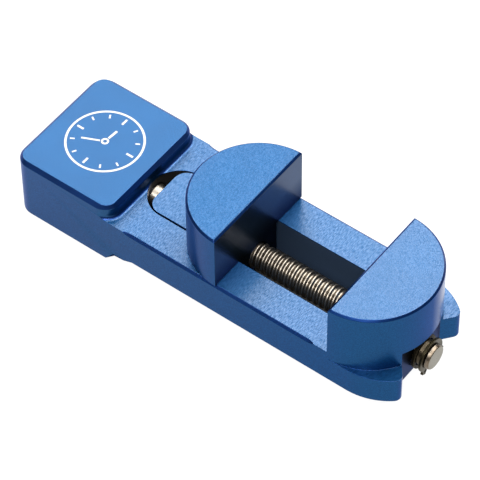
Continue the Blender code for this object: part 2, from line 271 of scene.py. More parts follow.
# The camera: angles in degrees, places in metres, lens and sensor in millimetres.
CAMERA_AZIMUTH = 37.705
CAMERA_ELEVATION = 50.665
CAMERA_ROLL = -0.764
CAMERA_TARGET = (-0.00058, 0.0, 0.00951)
CAMERA_DISTANCE = 0.66413
CAMERA_LENS = 238.56
CAMERA_SENSOR = 36.0


def at(x, y, z):
    """A place in the shared frame, from millimetres along the bar, across it and above the foot."""
    return Vector((LEFT + x * MM, y * MM, z * MM))


def arc(centre, radius, start, stop, steps):
    """Points of an arc from one angle to another, in degrees, with both its ends."""
    angles = [math.radians(start + (stop - start) * i / steps) for i in range(steps + 1)]
    return [(centre[0] + radius * math.cos(a), centre[1] + radius * math.sin(a)) for a in angles]


def circle(centre, radius, steps):
    """Points of a whole circle, without the first one again at its end."""
    return arc(centre, radius, 0, 360 - 360 / steps, steps - 1)


def mirrored(low):
    """An outline symmetrical about the X axis, from its lower half."""
    return low + [(x, -y) for x, y in reversed(low)]


def inset(outline, distance):
    """The outline, counter-clockwise, moved inwards by a distance along the mitre of each corner."""
    moved = []
    for before, here, after in zip(outline[-1:] + outline[:-1], outline, outline[1:] + outline[:1]):
        one = (here[0] - before[0], here[1] - before[1])
        two = (after[0] - here[0], after[1] - here[1])
        n1 = (-one[1] / math.hypot(*one), one[0] / math.hypot(*one))
        n2 = (-two[1] / math.hypot(*two), two[0] / math.hypot(*two))
        scale = distance / (1 + n1[0] * n2[0] + n1[1] * n2[1])
        moved.append((here[0] + (n1[0] + n2[0]) * scale, here[1] + (n1[1] + n2[1]) * scale))
    return moved


def finished_mesh(shape, name):
    """The mesh of a bmesh, with its faces pointing out."""
    bmesh.ops.recalc_face_normals(shape, faces=shape.faces)
    mesh = bpy.data.meshes.new(name)
    shape.to_mesh(mesh)
    shape.free()
    return mesh


def skin(name, rings, split=False):
    """A mesh through closed rings of the same number of points, capped at both ends.

    Split faces have their diagonal laid so that a right-hand helix can run along the edges.
    """
    shape = bmesh.new()
    rows = [[shape.verts.new(point) for point in ring] for ring in rings]
    for low, high in zip(rows, rows[1:]):
        for i in range(len(low)):
            j = (i + 1) % len(low)
            if split:
                shape.faces.new((low[i], low[j], high[j]))
                shape.faces.new((low[i], high[j], high[i]))
            else:
                shape.faces.new((low[i], low[j], high[j], high[i]))
    shape.faces.new(rows[0][::-1])
    shape.faces.new(rows[-1])
    return finished_mesh(shape, name)


def prism(name, outline, bottom, top, bottom_chamfer=0.0, top_chamfer=0.0):
    """An upright solid over an outline, with its bottom and top edges chamfered where asked."""
    levels = [(bottom + bottom_chamfer, outline), (top - top_chamfer, outline)]
    if bottom_chamfer:
        levels.insert(0, (bottom, inset(outline, bottom_chamfer)))
    if top_chamfer:
        levels.append((top, inset(outline, top_chamfer)))
    return skin(name, [[at(x, y, z) for x, y in ring] for z, ring in levels])


def turned(name, profile, steps=TURNED_STEPS):
    """A round solid about the screw's axis, from a closed profile of (x, radius)."""
    shape = bmesh.new()
    rows = []
    for x, radius in profile:
        if radius == 0:
            rows.append([shape.verts.new(at(x, 0, AXIS_Z))] * steps)
            continue
        row = []
        for i in range(steps):
            angle = math.tau * i / steps
            y, z = radius * math.cos(angle), radius * math.sin(angle)
            row.append(shape.verts.new(at(x, y, AXIS_Z + z)))
        rows.append(row)
    for low, high in zip(rows, rows[1:] + rows[:1]):
        for i in range(steps):
            j = (i + 1) % steps
            corners = list(dict.fromkeys((low[i], low[j], high[j], high[i])))
            if len(corners) > 2:
                shape.faces.new(corners)
    return finished_mesh(shape, name)


def place(name, data):
    """A new object in the scene, standing for a mesh, a light or a camera."""
    obj = bpy.data.objects.new(name, data)
    bpy.context.scene.collection.objects.link(obj)
    return obj


def combine(obj, steps):
    """Joins or cuts helper solids with an object, and leaves one plain mesh."""
    helpers = []
    for operation, mesh in steps:
        helper = place("helper", mesh)
        helpers.append(helper)
        modifier = obj.modifiers.new("combine", "BOOLEAN")
        modifier.operation = operation
        modifier.object = helper
        modifier.solver = "EXACT"
    bpy.context.view_layer.update()
    graph = bpy.context.evaluated_depsgraph_get()
    mesh = bpy.data.meshes.new_from_object(obj.evaluated_get(graph))
    obj.modifiers.clear()
    obj.data = mesh
    for helper in helpers:
        bpy.data.objects.remove(helper, do_unlink=True)


def clean(obj):
    """Merges the tiny leftovers of the cuts and makes flat faces whole again."""
    shape = bmesh.new()
    shape.from_mesh(obj.data)
    bmesh.ops.remove_doubles(shape, verts=shape.verts, dist=0.01 * MM)
    limit = math.radians(0.3)
    bmesh.ops.dissolve_limit(shape, angle_limit=limit, verts=shape.verts, edges=shape.edges)
    shape.to_mesh(obj.data)
    shape.free()


def sharpen(obj, angle):
    """Shades an object smooth, with the edges sharper than an angle in degrees kept crisp."""
    obj.data.shade_smooth()
    obj.data.set_sharp_from_angle(angle=math.radians(angle))


def soften(obj, width=EDGE, angle=32):
    """Breaks the sharp edges with a fine radius, as a machined part's edges are."""
    obj.data.shade_smooth()
    modifier = obj.modifiers.new("edges", "BEVEL")
    modifier.limit_method = "ANGLE"
    modifier.angle_limit = math.radians(angle)
    modifier.width = width * MM
    modifier.segments = 2
    modifier.use_clamp_overlap = False
    modifier.harden_normals = True
    modifier.miter_outer = "MITER_ARC"


# The machined pieces.


def half_round(flat):
    """The D outline of a jaw: its flat face at x = flat, with the half circle on the side of +X."""
    return arc((flat, 0), HALF, -90, 90, ARC_STEPS)


def head_ring(left, right, half, left_radius, right_radius, start=-90.0):
    """A level of the head: a rectangle whose round right corners may start past the side face."""
    corner_y = right_radius * math.sin(math.radians(-start))
    right_low = arc((right - right_radius, -half + corner_y), right_radius, start, 0, CORNER_STEPS)
    left_low = arc((left + left_radius, -half + left_radius), left_radius, 180, 270, CORNER_STEPS)
    return mirrored(left_low + right_low)


def head_mesh():
    """Foot, head block and the fillet where its inner wall meets the bar."""

    def foot_ring(z, edge):
        return head_ring(edge, FOOT_LENGTH + z - edge, HALF - edge, CORNER_RADIUS - edge, SQUARE_CORNER)

    levels = [(0.0, foot_ring(0.0, FOOT_EDGE)), (FOOT_EDGE, foot_ring(FOOT_EDGE, 0.0))]
    square = foot_ring(FOOT_RISE, 0.0)
    levels += [(FOOT_RISE, square), (BAR_TOP - SQUARE_CORNER, square)]
    for step in range(FILLET_STEPS + 1):
        angle = math.pi / 2 * step / FILLET_STEPS
        out = WALL_FILLET * (1 - math.sin(angle))
        start = -math.degrees(math.asin(CORNER_RADIUS / (CORNER_RADIUS + out)))
        ring = head_ring(0, HEAD_LENGTH + out, HALF, CORNER_RADIUS, CORNER_RADIUS + out, start)
        levels.append((BAR_TOP + WALL_FILLET * (1 - math.cos(angle)), ring))
    levels.append((HEAD_TOP - HEAD_CHAMFER, levels[-1][1]))
    right, half = HEAD_LENGTH - HEAD_CHAMFER, HALF - HEAD_CHAMFER
    levels.append((HEAD_TOP, head_ring(HEAD_CHAMFER, right, half, TOP_CORNER_RADIUS, TOP_CORNER_RADIUS)))
    return skin("body", [[at(x, y, z) for x, y in ring] for z, ring in levels])


def bar_mesh():
    """The bar from inside the head to inside the fixed jaw, square at the top and chamfered below.

    The chamfer below runs out towards the head, and the bar's last stretch narrows inside the jaw.
    """
    rings = []
    for x, half, under in (
        (HEAD_LENGTH / 2, HALF, NO_CHAMFER),
        (CHAMFER_START - RUN_OUT, HALF, NO_CHAMFER),
        (CHAMFER_START, HALF, UNDER_CHAMFER),
        (FIXED_FLAT, HALF, UNDER_CHAMFER),
        (FIXED_FLAT + 2 * OVER, HALF - OVER, UNDER_CHAMFER),
    ):
        low = [(half - under, FOOT_RISE), (half, FOOT_RISE + under), (half, BAR_TOP)]
        rings.append([at(x, y, z) for y, z in low + [(-y, z) for y, z in reversed(low)]])
    return skin("bar", rings)


def chamfer_cutter(side):
    """What the chamfer mill takes off one upper edge of the bar: it dips in and lifts out along an arc."""
    rings = []
    lead = [i / FILLET_STEPS for i in range(FILLET_STEPS + 1)]
    start, end = CHAMFER_START - RUN_OUT, CHAMFER_END + RUN_OUT
    path = [(start + RUN_OUT * s, math.sqrt(1 - (1 - s) ** 2)) for s in lead]
    path += [(end - RUN_OUT * s, math.sqrt(1 - (1 - s) ** 2)) for s in reversed(lead)]
    lift = 0.05
    for x, share in path:
        depth = (BAR_CHAMFER + lift) * share - lift
        corners = [(HALF - depth - OVER, BAR_TOP + OVER), (HALF + OVER, BAR_TOP - depth - OVER)]
        corners.append((HALF + 2 * OVER, BAR_TOP + 2 * OVER))
        rings.append([at(x, side * y, z) for y, z in corners])
    return skin("chamfer", rings)


def base_outline():
    """The base under the fixed jaw: straight sides, a half circle, and round horn tips beside the notch."""
    angle = math.radians(FLARE_ANGLE)
    dx, dy = math.cos(angle), math.sin(angle)
    # The tip's centre lies one tip radius inside both the half circle and the flare.
    inner = HALF - TIP_RADIUS
    px = NOTCH_WALL - dy * TIP_RADIUS - BASE_CENTRE
    py = NOTCH_HALF + dx * TIP_RADIUS
    along = px * dx + py * dy
    travel = -along + math.sqrt(along**2 - (px**2 + py**2 - inner**2))
    tip = (px + dx * travel + BASE_CENTRE, py + dy * travel)
    tip_angle = math.degrees(math.atan2(tip[1], tip[0] - BASE_CENTRE))
    lower_tip = arc((tip[0], -tip[1]), TIP_RADIUS, -tip_angle, 90 - FLARE_ANGLE, CORNER_STEPS)
    lower = arc((BASE_CENTRE, 0), HALF, -90, -tip_angle, ARC_STEPS // 2)[:-1] + lower_tip
    return mirrored(lower) + [(BASE_START, HALF), (BASE_START, -HALF)]


def notch_outline():
    """The notch in the base: a straight back wall between flared sides, open past the horns."""
    angle = math.radians(FLARE_ANGLE)
    x, y = NOTCH_WALL + math.cos(angle) * FLARE_REACH, NOTCH_HALF + math.sin(angle) * FLARE_REACH
    return [(NOTCH_WALL, -NOTCH_HALF), (x, -y), (x + NOTCH_POINT, 0), (x, y), (NOTCH_WALL, NOTCH_HALF)]


def notch_mesh():
    """What the notch takes away, wider at the bottom so that it breaks the base's lower edge as well."""
    outline = notch_outline()
    wide = inset(outline, -UNDER_CHAMFER)
    levels = [(-OVER, wide), (FOOT_RISE, wide)]
    levels += [(FOOT_RISE + UNDER_CHAMFER, outline), (NOTCH_CEILING, outline)]
    return skin("notch", [[at(x, y, z) for x, y in ring] for z, ring in levels])


def slot_outline():
    """The slot: a full round end towards the head, and small round corners at the other end."""
    left = arc((SLOT_CENTRE, 0), SLOT_HALF, 90, 270, ARC_STEPS)
    inner = SLOT_END - SLOT_END_RADIUS
    low = arc((inner, SLOT_END_RADIUS - SLOT_HALF), SLOT_END_RADIUS, -90, 0, CORNER_STEPS)
    return left + mirrored(low)


def rear_bore_profile():
    """Counterbore for the hub, hole for the bush, clear hole for the shank, and the collar's spotface."""
    spotface, clear = COLLAR_START - CLEARANCE, COLLAR_RADIUS + CLEARANCE
    profile = [(-OVER, 0), (-OVER, COUNTERBORE_RADIUS), (COUNTERBORE_DEPTH, COUNTERBORE_RADIUS)]
    profile += [(COUNTERBORE_DEPTH, BUSH_HOLE), (BUSH_HOLE_END, BUSH_HOLE), (BUSH_HOLE_END, SHANK_HOLE)]
    profile += [(spotface, SHANK_HOLE), (spotface, clear), (SLOT_CENTRE, clear), (SLOT_CENTRE, 0)]
    return profile


def make_body():
    """The head, bar, base and fixed jaw in one piece, with the slot, the notch and the bores cut out."""
    body = place("body_shell", head_mesh())
    front = [(SLOT_END - OVER, 0), (SLOT_END - OVER, JOURNAL_HOLE)]
    front += [(NOTCH_WALL + OVER, JOURNAL_HOLE), (NOTCH_WALL + OVER, 0)]
    base = prism("base", base_outline(), FOOT_RISE, SHELF_TOP, bottom_chamfer=UNDER_CHAMFER)
    jaw_start = (FOOT_RISE + SHELF_TOP) / 2
    jaw = prism("jaw", half_round(FIXED_FLAT), jaw_start, FIXED_TOP, top_chamfer=JAW_CHAMFER)
    combine(
        body,
        [
            ("UNION", bar_mesh()),
            ("UNION", base),
            ("DIFFERENCE", chamfer_cutter(1)),
            ("DIFFERENCE", chamfer_cutter(-1)),
            ("UNION", jaw),
            ("DIFFERENCE", prism("slot", slot_outline(), -OVER, BAR_TOP + WALL_FILLET)),
            ("DIFFERENCE", notch_mesh()),
            ("DIFFERENCE", turned("rear_bore", rear_bore_profile())),
            ("DIFFERENCE", turned("front_bore", front)),
        ],
    )
    clean(body)
    soften(body)
    return body


def make_moving_jaw():
    """The sliding jaw: a D block on the bar and its tongue down in the slot, cut from one piece."""
    outline = [(2 * MOVING_FLAT - x, -y) for x, y in half_round(MOVING_FLAT)]
    block = prism("jaw", outline, BAR_TOP + SLIDE_GAP, MOVING_TOP, top_chamfer=JAW_CHAMFER)
    jaw = place("jaw_block", block)
    tongue_end = MOVING_FLAT - CLEARANCE
    corner = (TONGUE_START + TONGUE_RADIUS, TONGUE_RADIUS - TONGUE_HALF)
    low = arc(corner, TONGUE_RADIUS, 180, 270, CORNER_STEPS) + [(tongue_end, -TONGUE_HALF)]
    tongue = prism("tongue", mirrored(low), TONGUE_BOTTOM, BAR_TOP)
    riser_y = RISER_INSET - TONGUE_HALF
    riser_low = [(MOVING_FLAT - RISER_LENGTH, riser_y), (tongue_end - RISER_INSET / 2, riser_y)]
    riser = prism("riser", mirrored(riser_low), BAR_TOP - OVER, BAR_TOP + OVER)
    pocket, pocket_end = NUT_RADIUS + CLEARANCE, NUT_END + CLEARANCE
    clear = THREAD_RADIUS + CLEARANCE
    bore = [(TONGUE_START - OVER, 0), (TONGUE_START - OVER, pocket), (pocket_end, pocket)]
    bore += [(pocket_end, clear), (MOVING_FLAT + OVER, clear), (MOVING_FLAT + OVER, 0)]
    combine(jaw, [("UNION", tongue), ("UNION", riser), ("DIFFERENCE", turned("bore", bore))])
    clean(jaw)
    soften(jaw)
    return jaw


# The screw and what sits on it.


def thread_depth(x, angle):
    """How far the worn thread's surface lies below its crest: rounded crest and root, steeper between."""
    wave = math.cos(math.tau * x / PITCH - angle)
    crest = 0.5 + 0.5 * math.tanh(THREAD_FLATNESS * wave) / math.tanh(THREAD_FLATNESS)
    ramp = min(1.0, max(0.0, (x - THREAD_START) / LEAD_IN), max(0.0, (THREAD_END - x) / LEAD_IN))
    return (THREAD_RADIUS - ROOT_RADIUS) * (1 - crest * ramp)


def screw_ring(x, radius_at):
    """A ring of points about the screw's axis, at the radius that each angle has."""
    ring = []
    for i in range(SCREW_STEPS):
        angle = math.tau * i / SCREW_STEPS
        radius = radius_at(angle)
        ring.append(at(x, radius * math.cos(angle), AXIS_Z + radius * math.sin(angle)))
    return ring


def shank_profile():
    """The screw's outline before the thread: its chamfered end, the shank, the collar and a neck."""
    return [
        (SCREW_START, SHANK_RADIUS - END_CHAMFER),
        (SCREW_START + END_CHAMFER, SHANK_RADIUS),
        (COLLAR_START, SHANK_RADIUS),
        (COLLAR_START + COLLAR_CHAMFER / 10, COLLAR_RADIUS - COLLAR_CHAMFER),
        (COLLAR_START + COLLAR_CHAMFER, COLLAR_RADIUS),
        (NECK_END, NECK_RADIUS),
        (NECK_END + NECK_STEP, ROOT_RADIUS),
    ]


def journal_profile():
    """The screw's outline after the thread: journal, circlip's groove and slightly tapered end."""
    groove_start, groove_end = CLIP_START - GROOVE_PLAY, CLIP_END + GROOVE_PLAY
    lip = JOURNAL_RADIUS - GROOVE_EDGE
    profile = [(THREAD_END + RELIEF, ROOT_RADIUS), (THREAD_END + RELIEF + SHOULDER, JOURNAL_RADIUS)]
    profile += [(groove_start - GROOVE_EDGE, JOURNAL_RADIUS), (groove_start, lip)]
    profile += [(groove_start, GROOVE_RADIUS), (groove_end, GROOVE_RADIUS)]
    profile += [(groove_end, lip), (groove_end + GROOVE_EDGE, JOURNAL_RADIUS)]
    profile.append((max(groove_end + 1.5 * GROOVE_EDGE, SCREW_END - TAPER_LENGTH), JOURNAL_RADIUS))
    # The edge is rounded over, and faint lathe rings on the end face close on a small centre.
    for before_end, drop in ((0.16, 0.0), (0.05, 0.07), (0.0, 0.16)):
        profile.append((SCREW_END - before_end, JOURNAL_RADIUS - TAPER - drop))
    for i in range(END_RINGS):
        radius = END_FACE_RADIUS * (1 - i / END_RINGS) + END_CENTRE
        profile.append((SCREW_END - (END_RING_DEPTH if i % 2 else 0.0), radius))
    return profile


def make_screw():
    """The screw: shank, right-hand thread, journal with the circlip's groove, and its chamfered end."""
    rings = [screw_ring(x, lambda angle: radius) for x, radius in shank_profile()]
    # A ring for each step round the axis in every pitch lets the crest run along the edges of the mesh.
    count = round((THREAD_END - THREAD_START) / PITCH * SCREW_STEPS)
    for i in range(count + 1):
        x = THREAD_START + (THREAD_END - THREAD_START) * i / count
        rings.append(screw_ring(x, lambda angle: THREAD_RADIUS - thread_depth(x, angle)))
    rings += [screw_ring(x, lambda angle: radius) for x, radius in journal_profile()]
    screw = place("threaded_screw", skin("threaded_screw", rings, split=True))
    combine(screw, [("DIFFERENCE", cross_rod(SHANK_RADIUS + OVER, PIN_HOLE_RADIUS))])
    sharpen(screw, 50)
    return screw


def cross_rod(half_length, radius):
    """A plain upright rod through the screw's axis where the hub's pin goes."""
    outline = circle((PIN_X, 0), radius, HOLE_STEPS)
    heights = (AXIS_Z - half_length, AXIS_Z + half_length)
    return skin("cross_rod", [[at(x, y, z) for x, y in outline] for z in heights])


def make_ring(name, start, end, inner, outer, cut):
    """A plain ring about the screw's axis, with all four edges chamfered."""
    profile = [(start, inner + cut), (start, outer - cut), (start + cut, outer), (end - cut, outer)]
    profile += [(end, outer - cut), (end, inner + cut), (end - cut, inner), (start + cut, inner)]
    ring = place(name, turned(name, profile))
    sharpen(ring, 40)
    return ring


def make_nut():
    """The bronze nut, pressed into the tongue just below its rear face."""
    return make_ring("pressed_nut", NUT_START, NUT_END, NUT_BORE, NUT_RADIUS, NUT_CHAMFER)


def make_washer():
    """The thrust washer on the journal, in the notch."""
    radii = (WASHER_BORE, WASHER_RADIUS)
    return make_ring("chamfered_washer", WASHER_START, WASHER_END, *radii, WASHER_CHAMFER)


def make_hub():
    """The drive hub: a turned boss with a hexagon socket, a chamfered mouth and the pin's cross hole."""
    rear = HUB_RADIUS - HUB_REAR_CHAMFER
    profile = [(HUB_START, 0), (HUB_START, HUB_RADIUS - END_CHAMFER), (HUB_START + END_CHAMFER, HUB_RADIUS)]
    profile += [(HUB_END - HUB_REAR_CHAMFER, HUB_RADIUS), (HUB_END, rear), (HUB_END, HUB_BORE)]
    profile += [(HUB_BORE_START, HUB_BORE), (HUB_BORE_START, 0)]
    hub = place("socket_hub", turned("socket_hub", profile, ARC_STEPS))
    corner = SOCKET_FLATS / math.sqrt(3)
    front, floor = HUB_START - OVER, HUB_START + SOCKET_DEPTH
    socket = [(front, 0), (front, corner), (floor, corner), (floor, 0)]
    rim = corner + MOUTH_CHAMFER
    mouth = [(front, 0), (front, rim + OVER), (HUB_START + rim, 0)]
    combine(
        hub,
        [
            ("DIFFERENCE", turned("socket", socket, 6)),
            ("DIFFERENCE", turned("mouth", mouth, ARC_STEPS)),
            ("DIFFERENCE", cross_rod(HUB_RADIUS + OVER, PIN_HOLE_RADIUS)),
        ],
    )
    sharpen(hub, 30)
    return hub


def clip_solid(name, outline, reach):
    """An outline square to the screw's axis made as thick as the circlip, or further on both sides."""
    turn = math.radians(CLIP_TURN)
    cos, sin = math.cos(turn), math.sin(turn)
    turned_outline = [(y * cos - z * sin, y * sin + z * cos) for y, z in outline]
    places = (CLIP_START - reach, CLIP_END + reach)
    return skin(name, [[at(x, y, AXIS_Z + z) for y, z in turned_outline] for x in places])


def make_circlip():
    """The retaining ring in the screw's groove, open below, with a hole in the ear on each side."""
    ear = math.degrees(CLIP_EAR_HALF / CLIP_OUTER)
    tip = ear * CLIP_EAR_TIP
    opening = CLIP_EAR_ANGLE - ear
    outer = arc((0, 0), CLIP_OUTER, -90 + CLIP_EAR_ANGLE + ear, 270 - CLIP_EAR_ANGLE - ear, ARC_STEPS)
    left_ear = arc((0, 0), CLIP_EAR, 270 - CLIP_EAR_ANGLE - tip, 270 - CLIP_EAR_ANGLE + tip, 6)
    right_ear = [(-y, z) for y, z in reversed(left_ear)]
    inner = arc((0, 0), CLIP_INNER, 270 - opening, -90 + opening, ARC_STEPS)
    clip = place("eared_circlip", clip_solid("eared_circlip", outer + left_ear + inner + right_ear, 0.0))
    holes = []
    middle = (CLIP_INNER + CLIP_EAR) / 2
    for side in (-1, 1):
        angle = math.radians(-90 + side * CLIP_EAR_ANGLE)
        centre = (middle * math.cos(angle), middle * math.sin(angle))
        hole = clip_solid("hole", circle(centre, CLIP_HOLE_RADIUS, HOLE_STEPS), OVER)
        holes.append(("DIFFERENCE", hole))
    combine(clip, holes)
    soften(clip, width=CLIP_EDGE)
    return clip


# Materials.


def new_material(name, colour, roughness, metallic):
    """A material with its node tree and its Principled shader."""
    made = bpy.data.materials.new(name)
    made.use_nodes = True
    tree = made.node_tree
    shader = tree.nodes["Principled BSDF"]
    shader.inputs["Base Color"].default_value = (*colour, 1.0)
    shader.inputs["Roughness"].default_value = roughness
    shader.inputs["Metallic"].default_value = metallic
    return made, tree, shader


def shaded(colour, factor):
    """A colour made darker or paler by a factor."""
    return tuple(channel * factor for channel in colour)


def add_node(tree, kind, **settings):
    """A new node of a kind, with its settings."""
    node = tree.nodes.new(kind)
    for key, value in settings.items():
        setattr(node, key, value)
    return node


def feed(tree, value, socket):
    """Links a node's output to a socket, or sets a number or a colour on it."""
    if isinstance(value, tuple):
        socket.default_value = (*value, 1.0)
    elif isinstance(value, float):
        socket.default_value = value
    else:
        tree.links.new(value, socket)


def object_space(tree, stretch=(1.0, 1.0, 1.0)):
    """Object coordinates, stretched along the axes so that a grain can run along one of them."""
    coordinates = add_node(tree, "ShaderNodeTexCoord")
    mapping = add_node(tree, "ShaderNodeMapping")
    mapping.inputs["Scale"].default_value = stretch
    tree.links.new(coordinates.outputs["Object"], mapping.inputs["Vector"])
    return mapping.outputs["Vector"]


def noise(tree, vector, size, detail=2.0, roughness=0.5):
    """Noise whose blotches measure about the given size in millimetres."""
    node = add_node(tree, "ShaderNodeTexNoise")
    node.inputs["Scale"].default_value = 1 / (size * MM)
    node.inputs["Detail"].default_value = detail
    node.inputs["Roughness"].default_value = roughness
    tree.links.new(vector, node.inputs["Vector"])
    return node.outputs["Fac"]


def spread(tree, value, low, high, from_low=0.3, from_high=0.7):
    """Maps a value onto the range from low to high: by default a noise, which keeps near its middle."""
    node = add_node(tree, "ShaderNodeMapRange")
    node.inputs["From Min"].default_value = from_low
    node.inputs["From Max"].default_value = from_high
    node.inputs["To Min"].default_value = low
    node.inputs["To Max"].default_value = high
    tree.links.new(value, node.inputs["Value"])
    return node.outputs["Result"]


def between(tree, share, first, second):
    """The value that lies at a share, from 0 to 1, of the way between two numbers."""
    return spread(tree, share, first, second, 0.0, 1.0)


def mix_colour(tree, share, first, second):
    """A mix of two colours, each a node's output or a plain colour, by a share from 0 to 1."""
    node = add_node(tree, "ShaderNodeMix", data_type="RGBA")
    tree.links.new(share, node.inputs["Factor"])
    feed(tree, first, node.inputs["A"])
    feed(tree, second, node.inputs["B"])
    return node.outputs["Result"]


def mix_value(tree, share, first, second):
    """A mix of two values, each a node's output or a plain number, by a share from 0 to 1."""
    node = add_node(tree, "ShaderNodeMix")
    tree.links.new(share, node.inputs["Factor"])
    feed(tree, first, node.inputs["A"])
    feed(tree, second, node.inputs["B"])
    return node.outputs["Result"]


def product(tree, *shares):
    """The product of several values."""
    total = shares[0]
    for share in shares[1:]:
        node = add_node(tree, "ShaderNodeMath", operation="MULTIPLY")
        tree.links.new(total, node.inputs[0])
        tree.links.new(share, node.inputs[1])
        total = node.outputs["Value"]
    return total


def add_bump(tree, shader, height, distance, strength):
    """Raises the surface by a noise, over a distance in millimetres."""
    node = add_node(tree, "ShaderNodeBump")
    node.inputs["Strength"].default_value = strength
    node.inputs["Distance"].default_value = distance * MM
    tree.links.new(height, node.inputs["Height"])
    tree.links.new(node.outputs["Normal"], shader.inputs["Normal"])


def axis_share(tree, axis, start, end, output="Object"):
    """How far a point, or its normal, lies along an axis between two values, from 0 to 1."""
    coordinates = add_node(tree, "ShaderNodeTexCoord")
    parts = add_node(tree, "ShaderNodeSeparateXYZ")
    tree.links.new(coordinates.outputs[output], parts.inputs["Vector"])
    if start < end:
        return spread(tree, parts.outputs[axis], 0.0, 1.0, start, end)
    return spread(tree, parts.outputs[axis], 1.0, 0.0, end, start)


def along_share(tree, start, end):
    """How far a point lies from one place along the bar to another, in millimetres from the head's end."""
    return axis_share(tree, "X", at(start, 0, 0).x, at(end, 0, 0).x)


def height_share(tree, start, end):
    """How far a point lies from one height to another, in millimetres above the foot."""
    return axis_share(tree, "Z", start * MM, end * MM)


def middle_share(tree, half):
    """Which points lie within a distance of the bar's middle plane, in millimetres."""
    coordinates = add_node(tree, "ShaderNodeTexCoord")
    parts = add_node(tree, "ShaderNodeSeparateXYZ")
    across = add_node(tree, "ShaderNodeMath", operation="ABSOLUTE")
    tree.links.new(coordinates.outputs["Object"], parts.inputs["Vector"])
    tree.links.new(parts.outputs["Y"], across.inputs[0])
    return spread(tree, across.outputs["Value"], 1.0, 0.0, half * MM, (half + FADE) * MM)


def top_share(tree):
    """Which faces look up, from 0 on walls and chamfers to 1 on the face-milled tops."""
    return axis_share(tree, "Z", 0.86, 0.97, "Normal")


def chamfer_share(tree):
    """Which faces lean at about 45 degrees, between the walls and the tops."""
    off_walls = axis_share(tree, "Z", 0.3, 0.55, "Normal")
    off_tops = axis_share(tree, "Z", 0.95, 0.84, "Normal")
    return product(tree, off_walls, off_tops)


def outward_share(tree):
    """Which faces look along the bar, away from the head."""
    return axis_share(tree, "X", 0.8, 0.95, "Normal")


def slot_share(tree):
    """Which points lie on the slot's walls, which get a greyer, less metallic tone."""
    start = SLOT_CENTRE - SLOT_HALF
    below_bar = height_share(tree, BAR_TOP - 2 * FADE, BAR_TOP - 3 * FADE)
    inside = middle_share(tree, SLOT_HALF + FADE)
    past_start = along_share(tree, start - 2 * FADE, start - FADE)
    before_end = along_share(tree, SLOT_END + 2 * FADE, SLOT_END + FADE)
    return product(tree, below_bar, inside, past_start, before_end)


def notch_share(tree):
    """Which points lie on the notch's back wall, which is painted in shade."""
    inside = middle_share(tree, NOTCH_HALF)
    past_slot = along_share(tree, NOTCH_WALL - 1, NOTCH_WALL - 0.5)
    below_jaw = height_share(tree, NOTCH_CEILING - 2 * FADE, NOTCH_CEILING - 4 * FADE)
    return product(tree, inside, past_slot, below_jaw, outward_share(tree))


def body_finish_and_shade(tree, shader, tone, coat):
    """The body's own places: greyer, less metallic slot walls, painted shade on the notch's back wall and
    at the slot's round end by the head, and the polished back of the fixed jaw's round side.
    """
    in_slot = slot_share(tree)
    # Painted shade: the slot's walls turn near-black at the round end by the head, and the notch's back
    # wall is near-black too.
    shaded_slot_end = along_share(tree, SLOT_CENTRE + 5, SLOT_CENTRE + 3)
    slot_tone_and_shade = mix_colour(tree, shaded_slot_end, SLOT_TONE, RECESS_PAINTED_SHADE)
    tone = mix_colour(tree, in_slot, tone, slot_tone_and_shade)
    tone = mix_colour(tree, notch_share(tree), tone, RECESS_PAINTED_SHADE)
    tree.links.new(between(tree, in_slot, 0.95, 0.45), shader.inputs["Metallic"])
    past_jaw = along_share(tree, FIXED_FLAT + 9, FIXED_FLAT + 11)
    round_back = product(tree, past_jaw, axis_share(tree, "Y", 0.02, 0.3, "Normal"))
    return tone, mix_value(tree, round_back, coat, 0.9)


def jaw_finish_and_shade(tree, shader, tone, coat):
    """The moving jaw's own place: its flat face, painted in shade darker and greyer than the dye, darkest
    towards its foot, and with less coat there.
    """
    flat = outward_share(tree)
    foot = height_share(tree, BAR_TOP + 7, BAR_TOP + 1)
    # Painted shade on the flat face, darkest towards its foot.
    tone = mix_colour(tree, flat, tone, mix_colour(tree, foot, JAW_FLAT_SHADE, JAW_FOOT_SHADE))
    return tone, mix_value(tree, flat, coat, between(tree, foot, 0.55, 0.10))


